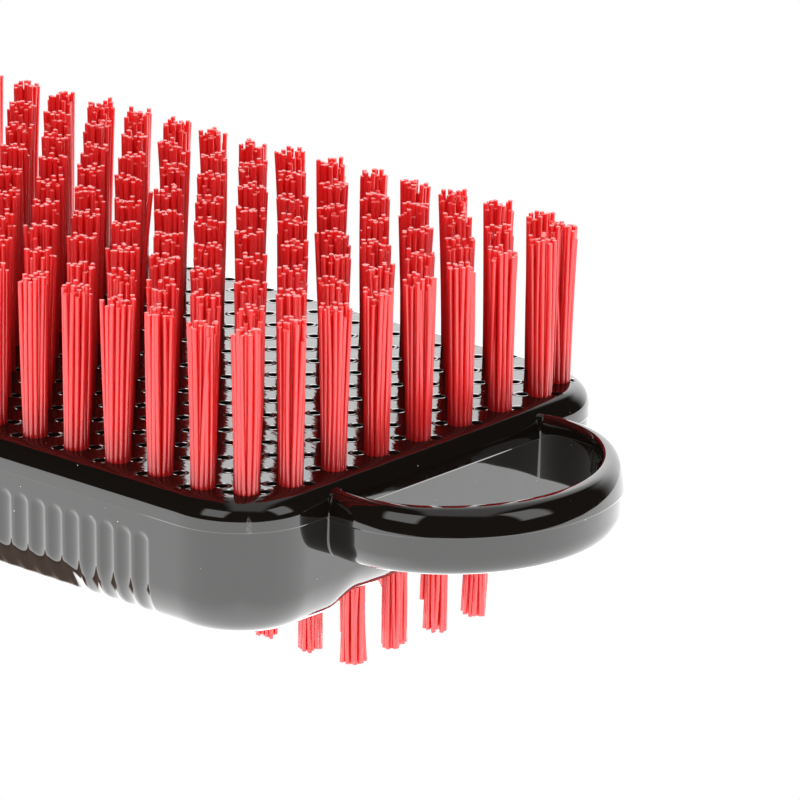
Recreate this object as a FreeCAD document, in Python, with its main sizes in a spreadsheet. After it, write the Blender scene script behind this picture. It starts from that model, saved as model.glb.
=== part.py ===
import FreeCAD, Part
import Sketcher
import math
import os

# Double-sided nail brush, in millimetres.
# One moulded block carries a field of long tufts on top and four rows of short nail tufts below,
# and a D-shaped hanging loop stands out of one end.
# It rests on the nail tufts: the origin is on the resting plane under the middle of the outline.
# +X runs towards the hanging loop, +Y across the rows, +Z up through the long tufts.

doc = FreeCAD.newDocument("nail_brush")
sheet = doc.addObject("Spreadsheet::Sheet", "Sizes")

# Driving dimensions: alias, value, meaning
SIZES = [
    ("row_pitch", 4.8, "from one row of tufts to the next, across the brush"),
    ("tuft_pitch", 4.3, "from one tuft to the next along a row"),
    ("main_rows", 9, "rows of long tufts"),
    ("nail_rows", 4, "rows of nail tufts"),
    ("tufts_per_row", 17, "tufts in each row"),
    ("corner_shift_across", 1.2, "how far a corner tuft is drawn in across the brush"),
    ("corner_shift_along", 1.1, "how far a corner tuft is drawn in along the brush"),
    ("side_margin", 2.9, "outer row to side wall"),
    ("end_margin", 2.6, "last tuft to end wall"),
    ("block_depth", 10.6, "moulding, top face to lowest edge"),
    ("plan_radius", 6.9, "corner of the block seen from above"),
    ("rim_radius", 1.15, "rounding of the top edge"),
    ("foot_radius", 2.0, "rounding of the lower edge"),
    ("trough_depth", 0.85, "lengthwise trough that the nail tufts stand in"),
    ("trough_margin", 1.5, "outer nail row to the edge of the trough floor"),
    ("trough_flank", 3.4, "width of each S-shaped flank of the trough"),
    ("main_length", 12.85, "long tuft, top face to tips"),
    ("main_root_size", 1.05, "long tuft at the top face, axis to corner"),
    ("main_tip_size", 1.36, "long tuft at its tips, axis to corner"),
    ("nail_length", 6.45, "nail tuft, trough floor to tips"),
    ("nail_root_size", 0.98, "nail tuft at the trough floor, axis to corner"),
    ("nail_tip_size", 1.06, "nail tuft at its tips, axis to corner"),
    ("socket_clearance", 0.06, "tuft to socket wall at the mouth"),
    ("main_socket_depth", 5.0, "blind socket of a long tuft"),
    ("nail_socket_depth", 3.4, "blind socket of a nail tuft"),
    ("anchor_height", 1.4, "flat anchor standing on the socket floor"),
    ("anchor_thickness", 0.3, "flat anchor, sheet thickness"),
    ("anchor_clearance", 0.03, "anchor end to the socket corner"),
    ("anchor_angle", 45.0, "direction of the anchors, from +X towards +Y, degrees"),
    ("gap_half", 11.8, "hanging loop's opening, half its width"),
    ("gap_reach", 11.85, "hanging loop's opening, end wall to its far side"),
    ("gap_shoulder", 8.8, "hanging loop's opening, curve of each shoulder"),
    ("gap_widest", 1.5, "hanging loop's opening, end wall to its widest place"),
    ("band_half", 13.25, "hanging loop's outside, half its width"),
    ("band_reach", 13.8, "hanging loop's outside, end wall to its far side"),
    ("band_shoulder", 10.3, "hanging loop's outside, curve of each shoulder"),
    ("band_widest", 2.0, "hanging loop's outside, end wall to its widest place"),
    ("loop_depth", 5.1, "height of the loop's band"),
    ("loop_drop", 0.4, "top face of the block down to the top of the loop"),
    ("loop_root", 1.2, "how far the arms run into the block"),
    ("band_flare", 0.35, "hollow fillet outside each arm, at the end wall"),
    ("gap_flare", 0.35, "hollow fillet inside each arm, at the end wall"),
    ("flare_bite", 0.1, "how far the fillets run into the end wall"),
    ("loop_rim_radius", 1.15, "rounding of the band's upper outer edge"),
    ("loop_foot_radius", 0.9, "rounding of the band's lower outer edge"),
    ("loop_lip", 0.2, "bevel of the band's inner edges"),
    ("flute_pitch", 1.77, "from one grip flute to the next"),
    ("flute_count", 31, "flutes on each long side"),
    ("flute_floor", 0.6, "width of a flute's floor"),
    ("flute_depth", 0.27, "depth of a flute in the wall"),
    ("flute_slope", 46.0, "slope of a flute's flanks from the wall's normal, degrees"),
    ("flute_drop", 3.65, "top face down to the flutes' upper ends"),
    ("waist_height", 2.6, "height of the turned-under grip below the flutes"),
    ("waist_angle", 28.0, "slope of the turned-under grip from upright, degrees"),
    ("waist_start", 17.0, "end wall to the waist's end at its upper edge"),
    ("waist_corner", 1.2, "corner of the waist in plan"),
    ("overrun", 2.0, "how far cutting shapes run past the moulding"),
    ("flat_angle", 22.5, "first of the two flats that round off an edge, from its wall, degrees"),
]

# Sizes worked out from the driving ones
DERIVED = [
    ("half_width", "=(main_rows - 1) / 2 * row_pitch + side_margin"),
    ("block_width", "=2 * half_width"),
    ("row_length", "=(tufts_per_row - 1) * tuft_pitch"),
    ("block_length", "=row_length + 2 * end_margin"),
    ("end_wall", "=(block_length - band_reach) / 2"),
    ("block_centre", "=-band_reach / 2"),
    ("rear_wall", "=end_wall - block_length"),
    ("trough_floor", "=nail_length"),
    ("foot", "=nail_length - trough_depth"),
    ("top", "=foot + block_depth"),
    ("loop_top", "=top - loop_drop"),
    ("gap_far", "=((gap_half - gap_shoulder)^2 + (gap_reach - gap_widest)^2 - gap_shoulder^2)"
     " / (2 * (gap_reach - gap_widest - gap_shoulder))"),
    ("band_far", "=((band_half - band_shoulder)^2 + (band_reach - band_widest)^2 - band_shoulder^2)"
     " / (2 * (band_reach - band_widest - band_shoulder))"),
    ("loop_foot", "=loop_top - loop_depth"),
    ("first_tuft", "=rear_wall + end_margin"),
    ("first_main_row", "=-(main_rows - 1) / 2 * row_pitch"),
    ("first_nail_row", "=-(nail_rows - 1) / 2 * row_pitch"),
    ("trough_half", "=-first_nail_row + trough_margin"),
    ("flank_radius", "=(trough_flank^2 + trough_depth^2) / (4 * trough_depth)"),
    ("main_socket_size", "=main_root_size + socket_clearance"),
    ("nail_socket_size", "=nail_root_size + socket_clearance"),
    ("main_root_depth", "=main_socket_depth - anchor_height"),
    ("nail_root_depth", "=nail_socket_depth - anchor_height"),
    ("main_butt_size", "=main_root_size - (main_tip_size - main_root_size) / main_length * main_root_depth"),
    ("nail_butt_size", "=nail_root_size - (nail_tip_size - nail_root_size) / nail_length * nail_root_depth"),
    ("main_flare", "=atan((main_tip_size - main_root_size) * cos(30 deg) / main_length) / 1 deg"),
    ("nail_flare", "=atan((nail_tip_size - nail_root_size) * cos(30 deg) / nail_length) / 1 deg"),
    ("anchor_setback", "=anchor_thickness / (2 * tan(60 deg)) + anchor_clearance"),
    ("main_anchor_length", "=2 * (main_socket_size - anchor_setback)"),
    ("nail_anchor_length", "=2 * (nail_socket_size - anchor_setback)"),
    ("first_flute", "=block_centre - (flute_count - 1) / 2 * flute_pitch"),
    ("flute_end", "=top - flute_drop"),
    ("flute_mouth", "=flute_floor + 2 * (flute_depth + overrun) * tan(flute_slope * 1 deg)"),
    ("waist_depth", "=waist_height * tan(waist_angle * 1 deg)"),
    ("waist_length", "=block_length - 2 * waist_start + 2 * waist_depth"),
    ("waist_width", "=2 * (waist_depth + overrun)"),
    ("waist_foot_corner", "=waist_corner + waist_depth"),
    ("main_floor", "=top - main_socket_depth"),
    ("main_butt", "=main_floor + anchor_height"),
    ("nail_floor", "=trough_floor + nail_socket_depth"),
    ("nail_butt", "=nail_floor - anchor_height"),
    ("last_main_row", "=-first_main_row"),
    ("edge_row_start", "=first_tuft + tuft_pitch"),
    ("edge_row_count", "=tufts_per_row - 2"),
    ("corner_start", "=first_tuft + corner_shift_along"),
    ("corner_apart", "=row_length - 2 * corner_shift_along"),
    ("near_corner_row", "=first_main_row + corner_shift_across"),
    ("far_corner_row", "=last_main_row - corner_shift_across"),
]

for line, (alias, value, meaning) in enumerate(SIZES, 1):
    sheet.set(f"A{line}", str(value))
    sheet.setAlias(f"A{line}", alias)
    sheet.set(f"B{line}", meaning)
for line, (alias, formula) in enumerate(DERIVED, 1):
    sheet.set(f"D{line}", formula)
    sheet.setAlias(f"D{line}", alias)
doc.recompute()


def size(alias):
    """The value of one cell, as a plain number."""
    return float(getattr(sheet, alias))


def bind(thing, path, formula):
    """Tie one property to the sheet; every word in the formula that is an alias is looked up there."""
    words = sorted({alias for alias, *rest in SIZES + DERIVED}, key=len, reverse=True)
    out = []
    word = ""
    for sign in formula + " ":
        if sign.isalnum() or sign == "_":
            word += sign
            continue
        out.append(f"Sizes.{word}" if word in words else word)
        out.append(sign)
        word = ""
    thing.setExpression(path, "".join(out).strip())


def new_body(name):
    """A sub-part, which may hold several separate solids."""
    made = doc.addObject("PartDesign::Body", name)
    made.Label = name
    made.AllowCompound = True
    return made


def origin_part(owner, role):
    return next(part for part in owner.Origin.OriginFeatures if part.Role == role)


def new_sketch(owner, name, role, **offsets):
    """A sketch on an origin plane of its body, moved by formulas for x, y and z in that plane's frame."""
    made = owner.newObject("Sketcher::SketchObject", name)
    made.AttachmentSupport = [(origin_part(owner, role), "")]
    made.MapMode = "FlatFace"
    for axis, formula in offsets.items():
        bind(made, f"AttachmentOffset.Base.{axis}", formula)
    return made


def feature(owner, kind, name, **links):
    made = owner.newObject(f"PartDesign::{kind}", name)
    made.Refine = False
    for key, value in links.items():
        setattr(made, key, value)
    return made


def close_chain(sketch, pieces):
    """Join the pieces end to start into a closed outline.

    A piece is (number, smooth, backwards): smooth says that it runs on without a corner into the next
    one, and backwards that the outline passes it from its end to its start.
    """
    pieces = [(number, smooth, *rest, False)[:3] for number, smooth, *rest in pieces]
    for (number, smooth, backwards), (following, next_smooth, next_backwards) in zip(
        pieces, pieces[1:] + pieces[:1]
    ):
        kind = "Tangent" if smooth else "Coincident"
        sketch.addConstraint(
            Sketcher.Constraint(kind, number, 1 if backwards else 2, following, 2 if next_backwards else 1)
        )


def measure(sketch, name, formula, kind, *places):
    """A dimension of the sketch, drawn at its present value and then tied to the sheet."""
    constraint = Sketcher.Constraint(kind, *places)
    number = sketch.addConstraint(constraint)
    sketch.renameConstraint(number, name)
    bind(sketch, f"Constraints.{name}", formula)


def line(sketch, start, end):
    return sketch.addGeometry(Part.LineSegment(FreeCAD.Vector(*start), FreeCAD.Vector(*end)), False)


def hexagon(sketch, circle_size):
    """A regular hexagon about the sketch's origin with a corner on each side along the anchor's line."""
    radius = size(circle_size)
    turn = math.radians(size("anchor_angle"))
    sides = 6
    corners = [
        (radius * math.cos(turn + 2 * math.pi * k / sides), radius * math.sin(turn + 2 * math.pi * k / sides))
        for k in range(sides)
    ]
    edges = [line(sketch, corners[k], corners[(k + 1) % sides]) for k in range(sides)]
    circle = sketch.addGeometry(Part.Circle(FreeCAD.Vector(), FreeCAD.Vector(0, 0, 1), radius), True)
    spoke = line(sketch, (0, 0), corners[0])
    sketch.toggleConstruction(spoke)
    close_chain(sketch, [(edge, False) for edge in edges])
    for edge in edges:
        sketch.addConstraint(Sketcher.Constraint("PointOnObject", edge, 1, circle))
    for edge in edges[1:]:
        sketch.addConstraint(Sketcher.Constraint("Equal", edges[0], edge))
    sketch.addConstraint(Sketcher.Constraint("Coincident", circle, 3, -1, 1))
    sketch.addConstraint(Sketcher.Constraint("Coincident", spoke, 1, -1, 1))
    sketch.addConstraint(Sketcher.Constraint("Coincident", spoke, 2, edges[0], 1))
    measure(sketch, "corner_size", circle_size, "Radius", circle, radius)
    measure(sketch, "turn", "anchor_angle * 1 deg", "Angle", -1, 1, spoke, 1, turn)


def turned_rectangle(sketch, length, width, turn):
    """A rectangle centred on the sketch's origin, its long side turned from the sketch's X."""
    half_length = size(length) / 2
    half_width = size(width) / 2
    angle = math.radians(size(turn))
    corners = [
        FreeCAD.Vector(a * half_length, b * half_width) for a, b in ((-1, -1), (1, -1), (1, 1), (-1, 1))
    ]
    corners = [FreeCAD.Rotation(FreeCAD.Vector(0, 0, 1), math.degrees(angle)) * corner for corner in corners]
    edges = [line(sketch, *ends) for ends in zip(corners, corners[1:] + corners[:1])]
    close_chain(sketch, [(edge, False) for edge in edges])
    for edge, following in zip(edges[:3], edges[1:]):
        sketch.addConstraint(Sketcher.Constraint("Perpendicular", edge, following))
    sketch.addConstraint(Sketcher.Constraint("Symmetric", edges[0], 1, edges[2], 1, -1, 1))
    measure(sketch, "length", length, "Distance", edges[0], 2 * half_length)
    measure(sketch, "width", width, "Distance", edges[1], 2 * half_width)
    measure(sketch, "turn", f"{turn} * 1 deg", "Angle", -1, 1, edges[0], 1, angle)


def arc(sketch, centre, radius, start, end):
    """An arc from angle start to angle end, drawn anticlockwise, in degrees."""
    circle = Part.Circle(FreeCAD.Vector(*centre), FreeCAD.Vector(0, 0, 1), radius)
    return sketch.addGeometry(Part.ArcOfCircle(circle, math.radians(start), math.radians(end)), False)


def rounded_rectangle(sketch, length, width, corner):
    """A rectangle with round corners, centred on the sketch's origin."""
    radius = size(corner)
    x = size(length) / 2 - radius
    y = size(width) / 2 - radius
    chain = []
    for a, b, start in ((1, -1, -90), (1, 1, 0), (-1, 1, 90), (-1, -1, 180)):
        chain.append((arc(sketch, (a * x, b * y), radius, start, start + 90), True))
        ends = {0: ((x, y + radius), (-x, y + radius)), 90: ((-x - radius, y), (-x - radius, -y)),
                180: ((-x, -y - radius), (x, -y - radius)), -90: ((x + radius, -y), (x + radius, y))}
        chain.append((line(sketch, *ends[start]), True))
    close_chain(sketch, chain)
    arcs = [number for number, smooth in chain[0::2]]
    sides = [number for number, smooth in chain[1::2]]
    for other in arcs[1:]:
        sketch.addConstraint(Sketcher.Constraint("Equal", arcs[0], other))
    sketch.addConstraint(Sketcher.Constraint("Vertical", sides[0]))
    sketch.addConstraint(Sketcher.Constraint("Horizontal", sides[1]))
    sketch.addConstraint(Sketcher.Constraint("Symmetric", arcs[0], 3, arcs[2], 3, -1, 1))
    measure(sketch, "corner", corner, "Radius", arcs[0], radius)
    measure(sketch, "length", f"{length} - 2 * {corner}", "DistanceX", arcs[3], 3, arcs[0], 3, 2 * x)
    measure(sketch, "width", f"{width} - 2 * {corner}", "DistanceY", arcs[0], 3, arcs[1], 3, 2 * y)


def loop_side(sketch, side, outside):
    """One outline of the hanging loop, as a chain from its right arm to its left one.

    A hollow flare leaves the end wall, a shoulder runs on from it, and a flatter curve joins the two
    shoulders. The flares bite a little way into the wall, so that they cross it and don't just touch it.
    """
    half, shoulder, widest, far, flare = (
        size(f"{side}_{word}") for word in ("half", "shoulder", "widest", "far", "flare")
    )
    far_x = size(f"{side}_reach") - far
    flare_x = flare - size("flare_bite")
    shoulder_y = half - shoulder
    apart = shoulder + flare if outside else shoulder - flare
    flare_y = shoulder_y + math.sqrt(apart**2 - (widest - flare_x) ** 2)
    turn = math.degrees(math.atan2(shoulder_y, widest - far_x))
    joint = math.degrees(math.atan2(flare_y - shoulder_y, flare_x - widest))
    left_flare = (180, 180 + joint) if outside else (joint, 180)
    right_flare = (180 - joint, 180) if outside else (180, 360 - joint)
    chain = [
        (arc(sketch, (flare_x, -flare_y), flare, *right_flare), True, outside),
        (arc(sketch, (widest, -shoulder_y), shoulder, -joint, -turn), True, False),
        (arc(sketch, (far_x, 0), far, -turn, turn), True, False),
        (arc(sketch, (widest, shoulder_y), shoulder, turn, joint), True, False),
        (arc(sketch, (flare_x, flare_y), flare, *left_flare), False, outside),
    ]
    right_end, right, across, left, left_end = (number for number, smooth, backwards in chain)
    sketch.addConstraint(Sketcher.Constraint("Equal", right, left))
    sketch.addConstraint(Sketcher.Constraint("Equal", right_end, left_end))
    sketch.addConstraint(Sketcher.Constraint("Symmetric", right, 3, left, 3, -1))
    measure(sketch, f"{side}_shoulder", f"{side}_shoulder", "Radius", left, shoulder)
    measure(sketch, f"{side}_far", f"{side}_far", "Radius", across, far)
    measure(sketch, f"{side}_flare", f"{side}_flare", "Radius", left_end, flare)
    measure(sketch, f"{side}_widest", f"{side}_widest", "DistanceX", -1, 1, left, 3, widest)
    measure(sketch, f"{side}_half", f"{side}_half - {side}_shoulder", "DistanceY", -1, 1, left, 3, shoulder_y)
    for name, number in (("left_bite", left_end), ("right_bite", right_end)):
        wall_end = 1 if (number == left_end) == outside else 2
        sketch.addConstraint(Sketcher.Constraint("Horizontal", number, wall_end, number, 3))
        offset = f"{side}_flare - flare_bite"
        measure(sketch, f"{side}_{name}", offset, "DistanceX", -1, 1, number, 3, flare_x)
    return chain, (-size("flare_bite"), flare_y)


def loop_plan(sketch):
    """The band of the hanging loop seen from above, between its two outlines, with ends inside the block."""
    outer, outer_end = loop_side(sketch, "band", True)
    inner, inner_end = loop_side(sketch, "gap", False)
    root = size("loop_root")
    tails = {}
    for side in (1, -1):
        points = [
            (outer_end[0], side * outer_end[1]),
            (-root, side * outer_end[1]),
            (-root, side * inner_end[1]),
            (inner_end[0], side * inner_end[1]),
        ]
        tails[side] = [line(sketch, points[k], points[k + 1]) for k in range(3)]
        for k, direction in enumerate(("Horizontal", "Vertical", "Horizontal")):
            sketch.addConstraint(Sketcher.Constraint(direction, tails[side][k]))
    last = inner[0][0]
    back = [(number, number != last, not backwards) for number, smooth, backwards in reversed(inner)]
    chain = outer + [(number, False, False) for number in tails[1]]
    chain += back + [(number, False, True) for number in reversed(tails[-1])]
    close_chain(sketch, chain)
    for name, number in (("left_root", tails[1][1]), ("right_root", tails[-1][1])):
        measure(sketch, name, "loop_root", "DistanceX", number, 1, -1, 1, root)


TOUCH = 1e-4


def near(one, other):
    return abs(one - other) < TOUCH


def middle_of(edge):
    return edge.valueAt((edge.FirstParameter + edge.LastParameter) / 2)


def is_level(face):
    return isinstance(face.Surface, Part.Plane) and near(abs(face.Surface.Axis.z), 1)


def flat_along(owner, name, base, wanted, down, across):
    """A flat along a smooth chain of edges, of which the test picks one by its middle point.

    It takes one length off the wall, down, and the other off the level face, across.
    """
    edges = enumerate(base.Shape.Edges, 1)
    number, picked = next((number, edge) for number, edge in edges if wanted(middle_of(edge)))
    sides = [face for face in base.Shape.Faces if any(picked.isSame(edge) for edge in face.Edges)]
    first, second = (across, down) if is_level(sides[0]) else (down, across)
    made = feature(owner, "Chamfer", name, Base=(base, [f"Edge{number}"]), ChamferType="Two distances")
    bind(made, "Size", first)
    bind(made, "Size2", second)
    doc.recompute()
    return made


def eased(owner, name, base, radius, wanted):
    """A smooth chain of edges rounded off in two equal flats, whose three edges lie on a quarter circle.

    The test for an edge is given for the chain as it is and as the first flat has moved it.
    """
    reach = f"{radius} * tan(flat_angle * 1 deg)"
    steep = flat_along(owner, f"{name}_steep", base, wanted(0), radius, reach)
    short = f"{radius} * (1 - sin(2 * flat_angle * 1 deg)) / cos(flat_angle * 1 deg)"
    inset = size(radius) * math.tan(math.radians(size("flat_angle")))
    return flat_along(owner, f"{name}_shallow", steep, wanted(inset), short, f"{radius} - {reach}")


loop = new_body("loop_blank")
ring = new_sketch(loop, "loop_plan", "XY_Plane", x="end_wall", z="loop_foot")
loop_plan(ring)
doc.recompute()
band = feature(loop, "Pad", "loop_band", Profile=ring)
bind(band, "Length", "loop_depth")
doc.recompute()


def far_edge(side, level):
    """Tests for the far arc of one outline of the loop, when that has moved in by some length."""
    def test(inset):
        x = size("end_wall") + size(f"{side}_reach") - inset
        return lambda middle: near(middle.x, x) and near(middle.z, size(level))
    return test


band = eased(loop, "band_rim", band, "loop_rim_radius", far_edge("band", "loop_top"))
band = eased(loop, "band_foot", band, "loop_foot_radius", far_edge("band", "loop_foot"))
for name, level in (("gap_rim", "loop_top"), ("gap_foot", "loop_foot")):
    band = flat_along(loop, name, band, far_edge("gap", level)(0), "loop_lip", "loop_lip")
loop.Tip = band


def trough_section(sketch):
    """The trough in the underside: a flat floor and an S-shaped flank on each side."""
    half = size("trough_half")
    flank = size("trough_flank")
    radius = size("flank_radius")
    floor = size("trough_floor")
    foot = size("foot")
    low = foot - size("overrun")
    turn = math.degrees(math.atan2(flank / 2, radius - (floor - foot) / 2))
    lip = half + flank
    chain = [
        (line(sketch, (half, floor), (-half, floor)), True),
        (arc(sketch, (-half, floor - radius), radius, 90, 90 + turn), True),
        (arc(sketch, (-lip, foot + radius), radius, 270, 270 + turn), False, True),
        (line(sketch, (-lip, foot), (-lip, low)), False),
        (line(sketch, (-lip, low), (lip, low)), False),
        (line(sketch, (lip, low), (lip, foot)), False),
        (arc(sketch, (lip, foot + radius), radius, 270 - turn, 270), True, True),
        (arc(sketch, (half, floor - radius), radius, 90 - turn, 90), True),
    ]
    close_chain(sketch, chain)
    flat, near_bend, near_lip, near_wall, base, far_wall, far_lip, far_bend = [entry[0] for entry in chain]
    sketch.addConstraint(Sketcher.Constraint("Horizontal", base))
    sketch.addConstraint(Sketcher.Constraint("Horizontal", near_lip, 3, far_lip, 3))
    for wall in (near_wall, far_wall):
        sketch.addConstraint(Sketcher.Constraint("Vertical", wall))
    for bend in (near_lip, far_lip, far_bend):
        sketch.addConstraint(Sketcher.Constraint("Equal", near_bend, bend))
    sketch.addConstraint(Sketcher.Constraint("Symmetric", flat, 1, flat, 2, -2))
    sketch.addConstraint(Sketcher.Constraint("Vertical", near_lip, 1, near_lip, 3))
    sketch.addConstraint(Sketcher.Constraint("Vertical", far_lip, 2, far_lip, 3))
    measure(sketch, "flank", "flank_radius", "Radius", near_bend, radius)
    measure(sketch, "floor", "trough_floor", "DistanceY", -1, 1, flat, 1, floor)
    measure(sketch, "floor_width", "2 * trough_half", "DistanceX", flat, 2, flat, 1, 2 * half)
    measure(sketch, "lip_level", "foot", "DistanceY", -1, 1, near_lip, 1, foot)
    measure(sketch, "base_level", "foot - overrun", "DistanceY", -1, 1, base, 1, low)


block = new_body("brush_body")
plan = new_sketch(block, "block_plan", "XY_Plane", x="block_centre", z="foot")
rounded_rectangle(plan, "block_length", "block_width", "plan_radius")
doc.recompute()
slab = feature(block, "Pad", "block_slab", Profile=plan)
bind(slab, "Length", "block_depth")
doc.recompute()
section = new_sketch(block, "trough_section", "YZ_Plane")
trough_section(section)
doc.recompute()
slab = feature(block, "Pocket", "trough", Profile=section, Type="ThroughAll", SideType="Symmetric")
doc.recompute()


def side_edge(level):
    """Tests for the outer edge along the far side wall, when that has moved in by some length."""
    def test(inset):
        y = size("half_width") - inset
        return lambda middle: near(middle.y, y) and near(middle.z, size(level))
    return test


slab = eased(block, "block_rim", slab, "rim_radius", side_edge("top"))
slab = eased(block, "block_foot", slab, "foot_radius", side_edge("foot"))


def spread(owner, name, original, **steps):
    """Copies of one feature in a straight grid: a step and a count along x, y or both."""
    made = feature(owner, "LinearPattern", name, Originals=[original])
    for number, (axis, (step, count)) in zip(("", "2"), steps.items()):
        setattr(made, f"Direction{number}", (origin_part(owner, f"{axis.upper()}_Axis"), [""]))
        setattr(made, f"Mode{number}", "Spacing")
        bind(made, f"Offset{number}", step)
        bind(made, f"Occurrences{number}", count)
    owner.Tip = made
    doc.recompute()
    return made


waist_plan = new_sketch(block, "waist_plan", "XY_Plane", x="block_centre", y="half_width + overrun", z="foot")
rounded_rectangle(waist_plan, "waist_length", "waist_width", "waist_foot_corner")
doc.recompute()
waist = feature(block, "Pocket", "waist", Profile=waist_plan, Reversed=True)
bind(waist, "Length", "waist_height")
bind(waist, "TaperAngle", "-waist_angle")
doc.recompute()
middle_plane = (origin_part(block, "XZ_Plane"), [""])
waists = feature(block, "Mirrored", "waists", Originals=[waist], MirrorPlane=middle_plane)
block.Tip = waists
doc.recompute()


def flute_section(sketch):
    """A flute cut across: a flat floor between two flanks, which run on past the wall."""
    deep = size("half_width") - size("flute_depth")
    rise = size("flute_depth") + size("overrun")
    floor = size("flute_floor") / 2
    mouth = size("flute_mouth") / 2
    points = [(floor, -deep), (-floor, -deep), (-mouth, -deep - rise), (mouth, -deep - rise)]
    edges = [line(sketch, *ends) for ends in zip(points, points[1:] + points[:1])]
    bottom, left, outside, right = edges
    close_chain(sketch, [(edge, False) for edge in edges])
    sketch.addConstraint(Sketcher.Constraint("Symmetric", bottom, 1, bottom, 2, -2))
    sketch.addConstraint(Sketcher.Constraint("Symmetric", outside, 1, outside, 2, -2))
    measure(sketch, "floor", "flute_floor", "DistanceX", bottom, 2, bottom, 1, 2 * floor)
    measure(sketch, "deep", "half_width - flute_depth", "DistanceY", bottom, 1, -1, 1, deep)
    measure(sketch, "rise", "flute_depth + overrun", "DistanceY", left, 2, left, 1, rise)
    measure(sketch, "mouth", "flute_mouth", "DistanceX", outside, 1, outside, 2, 2 * mouth)


section = new_sketch(block, "flute_section", "XY_Plane", x="first_flute", z="flute_end")
flute_section(section)
doc.recompute()
flute = feature(block, "Pocket", "flute", Profile=section, Type="ThroughAll")
doc.recompute()
flutes = feature(block, "MultiTransform", "flutes", Originals=[flute])
along = block.newObject("PartDesign::LinearPattern", "flutes_along")
along.Direction = (origin_part(block, "X_Axis"), [""])
along.Mode = "Spacing"
bind(along, "Offset", "flute_pitch")
bind(along, "Occurrences", "flute_count")
across = block.newObject("PartDesign::Mirrored", "flutes_across")
across.MirrorPlane = middle_plane
flutes.Transformations = [along, across]
block.Tip = flutes
doc.recompute()
whole = feature(block, "Boolean", "hanging_loop", Type="Fuse")
whole.Group = [loop]
doc.recompute()


def sockets(owner, name, kind, place, lengthwise, crosswise):
    """A grid of blind six-sided sockets: down from the top face, or up from the trough for nail tufts."""
    along, across = place
    mouth = "trough_floor" if kind == "nail" else "top"
    plan = new_sketch(owner, f"{name}_socket_plan", "XY_Plane", x=along, y=across, z=mouth)
    hexagon(plan, f"{kind}_socket_size")
    doc.recompute()
    hole = feature(owner, "Pocket", f"{name}_socket", Profile=plan, Reversed=kind == "nail")
    bind(hole, "Length", f"{kind}_socket_depth")
    doc.recompute()
    spread(owner, f"{name}_sockets", hole, x=lengthwise, y=crosswise)


FULL_ROW = ("tuft_pitch", "tufts_per_row")
EDGE_ROW = ("tuft_pitch", "edge_row_count")
CORNERS = ("corner_apart", "2")
SOCKET_GRIDS = [
    ("inner", "main", ("first_tuft", "first_main_row + row_pitch"), FULL_ROW, ("row_pitch", "main_rows - 2")),
    ("edge", "main", ("edge_row_start", "first_main_row"), EDGE_ROW, ("2 * last_main_row", "2")),
    ("corner", "main", ("corner_start", "near_corner_row"), CORNERS, ("2 * far_corner_row", "2")),
    ("nail", "nail", ("first_tuft", "first_nail_row"), FULL_ROW, ("row_pitch", "nail_rows")),
]
for name, kind, place, lengthwise, crosswise in SOCKET_GRIDS:
    sockets(block, name, kind, place, lengthwise, crosswise)


def tufts(owner, name, place, kind, step, count):
    """A straight run of equal tufts, still of one width, from their butts in the sockets to their tips."""
    along, across = place
    butt = new_sketch(owner, f"{name}_butt", "XY_Plane", x=along, y=across, z=f"{kind}_butt")
    hexagon(butt, f"{kind}_butt_size")
    doc.recompute()
    bundle = feature(owner, "Pad", f"{name}_bundle", Profile=butt, Reversed=kind == "nail")
    bind(bundle, "Length", f"{kind}_root_depth + {kind}_length")
    doc.recompute()
    spread(owner, name, bundle, x=(step, count))


def flared(owner, kind):
    """All tufts of one row widened from the butt towards the tips."""
    row = owner.Tip
    faces = list(enumerate(row.Shape.Faces, 1))
    flanks = [f"Face{number}" for number, face in faces if not is_level(face)]
    butt = next(f"Face{number}" for number, face in faces
                if is_level(face) and near(face.CenterOfMass.z, size(f"{kind}_butt")))
    wide = feature(owner, "Draft", f"{owner.Label}_flare", Base=(row, flanks), NeutralPlane=(row, [butt]))
    bind(wide, "Angle", f"{kind}_flare * 1 deg")
    wide.Reversed = kind == "main"
    owner.Tip = wide
    doc.recompute()


def anchors(owner, name, place, level, length, step, count):
    """A straight run of flat metal anchors, each standing on edge across the middle of its socket."""
    along, across = place
    plan = new_sketch(owner, f"{name}_plan", "XY_Plane", x=along, y=across, z=level)
    turned_rectangle(plan, length, "anchor_thickness", "anchor_angle")
    doc.recompute()
    plate = feature(owner, "Pad", f"{name}_plate", Profile=plan)
    bind(plate, "Length", "anchor_height")
    doc.recompute()
    spread(owner, name, plate, x=(step, count))


def runs(row):
    """The straight runs of tufts in one of the main rows: name, place and grid."""
    across = f"first_main_row + {row} * row_pitch"
    if 0 < row < int(size("main_rows")) - 1:
        return [("run", ("first_tuft", across), FULL_ROW)]
    drawn_in = "near_corner_row" if row == 0 else "far_corner_row"
    return [("run", ("edge_row_start", across), EDGE_ROW), ("corners", ("corner_start", drawn_in), CORNERS)]


subparts = [block]
for row in range(int(size("main_rows"))):
    bristles = new_body(f"main_tufts_row_{row + 1}")
    metal = new_body(f"main_anchors_row_{row + 1}")
    for name, place, grid in runs(row):
        tufts(bristles, f"{name}_{row + 1}", place, "main", *grid)
        anchors(metal, f"{name}_anchors_{row + 1}", place, "main_floor", "main_anchor_length", *grid)
    flared(bristles, "main")
    subparts += [bristles, metal]
for row in range(int(size("nail_rows"))):
    bristles = new_body(f"nail_tufts_row_{row + 1}")
    metal = new_body(f"nail_anchors_row_{row + 1}")
    place = ("first_tuft", f"first_nail_row + {row} * row_pitch")
    tufts(bristles, f"nail_run_{row + 1}", place, "nail", *FULL_ROW)
    anchors(metal, f"nail_run_anchors_{row + 1}", place, "nail_butt", "nail_anchor_length", *FULL_ROW)
    flared(bristles, "nail")
    subparts += [bristles, metal]

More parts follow.
